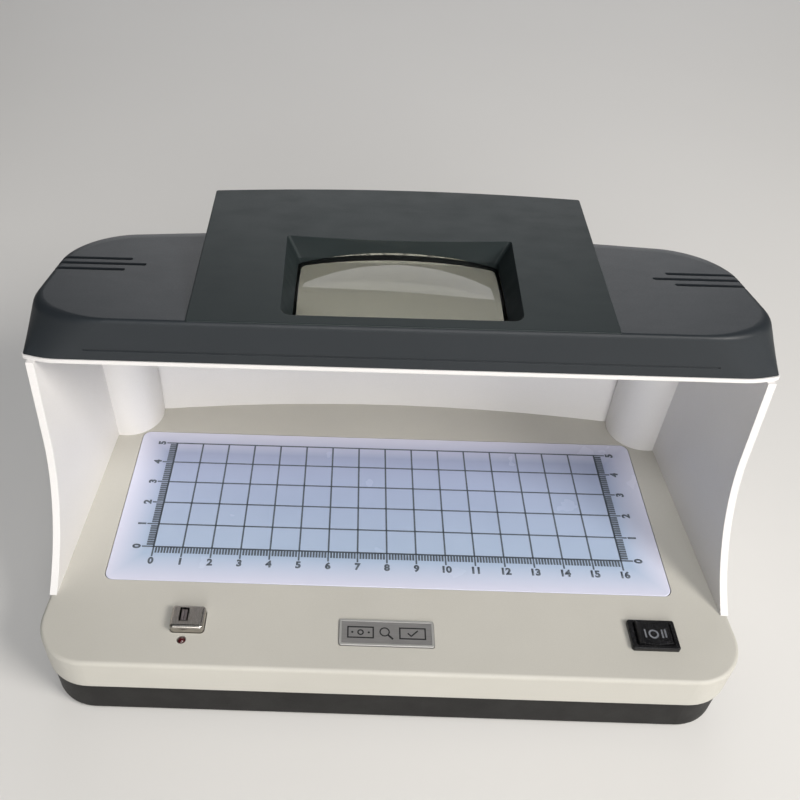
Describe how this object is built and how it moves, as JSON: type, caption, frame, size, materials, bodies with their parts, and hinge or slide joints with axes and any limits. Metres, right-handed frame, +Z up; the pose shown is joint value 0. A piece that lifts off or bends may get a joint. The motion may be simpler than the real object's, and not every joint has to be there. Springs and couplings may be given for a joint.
{
  "type": "counterfeit bill detector",
  "caption": "Desktop banknote checker: open-fronted hood over a lit ruler panel, ultraviolet lamp, top magnifier, magnetic head and rocker switch on the front deck.",
  "frame": {"origin": "on the table, under the middle of the case's bounding box", "axes": "+X to the user's right, +Y to the back, +Z up"},
  "size_m": [0.2232, 0.1283, 0.1221],
  "materials": {
    "roof_plastic": "charcoal ABS, fine spark texture",
    "slab_plastic": "dark slate ABS, smooth satin",
    "hood_plastic": "white ABS, satin",
    "deck_plastic": "warm grey-ivory ABS, fine spark texture",
    "tray_plastic": "dark grey ABS, fine spark texture",
    "white_plastic": "white ABS, plain",
    "rubber_foot": "black rubber",
    "panel_opal": "opal acrylic, softly lit from below",
    "lens_clear": "clear, polished",
    "lamp_glass": "violet-coated lamp glass",
    "cap_aluminium": "bright",
    "head_chrome": "bright, lightly brushed",
    "head_ferrite": "lapped ferrite",
    "zinc_steel": "zinc plated",
    "core_steel": "varnished laminations",
    "contact_brass": "plain",
    "board_laminate": "green circuit board",
    "component_black": "moulded component",
    "coil_tape": "yellow winding tape",
    "led_phosphor": "yellow phosphor",
    "led_red": "dark red epoxy",
    "lead_sleeve": "insulated wire",
    "switch_black": "black nylon",
    "badge_metal": "satin, light rim",
    "print_dark": "screen-printed ink",
    "print_light": "pad-printed ink"
  },
  "bodies": {
    "housing": {"base_tray": "tray_plastic", "rubber_feet": "rubber_foot", "case_screws": "zinc_steel", "deck_cover": "deck_plastic", "light_panel": "panel_opal", "light_box": "white_plastic", "led_strips": "board_laminate", "white_leds": "led_phosphor", "badge_plate": "badge_metal", "magnetic_head_case": "head_chrome", "magnetic_head_core": "head_ferrite", "head_bracket": "zinc_steel", "head_board": "board_laminate", "alarm_led": "led_red", "rocker_housing": "switch_black", "rocker_terminals": "contact_brass", "hood_shell": "hood_plastic", "roof_cover": "roof_plastic", "roof_screws": "zinc_steel", "magnifier_housing": "slab_plastic", "magnifier_lens": "lens_clear", "lens_retainer": "white_plastic", "retainer_screws": "zinc_steel", "uv_tube": "lamp_glass", "uv_tube_caps": "cap_aluminium", "lamp_holders": "white_plastic", "uv_reflector": "cap_aluminium", "lamp_leads": "lead_sleeve", "main_board": "board_laminate", "board_parts": "component_black", "board_screws": "zinc_steel", "transformer_core": "core_steel", "transformer_coil": "coil_tape", "lamp_inverter": "board_laminate", "buzzer": "component_black", "inlet_socket": "switch_black", "inlet_pins": "contact_brass", "inlet_tags": "contact_brass"},
    "rocker": {"rocker_button": "switch_black"}
  },
  "joints": [
    {"name": "rocker_tilt", "type": "hinge", "parent": "housing", "child": "rocker", "pos_m": [0.08365, -0.04785, 0.0297], "axis": [0, 1, 0], "range_deg": [-12, 12]}
  ]
}
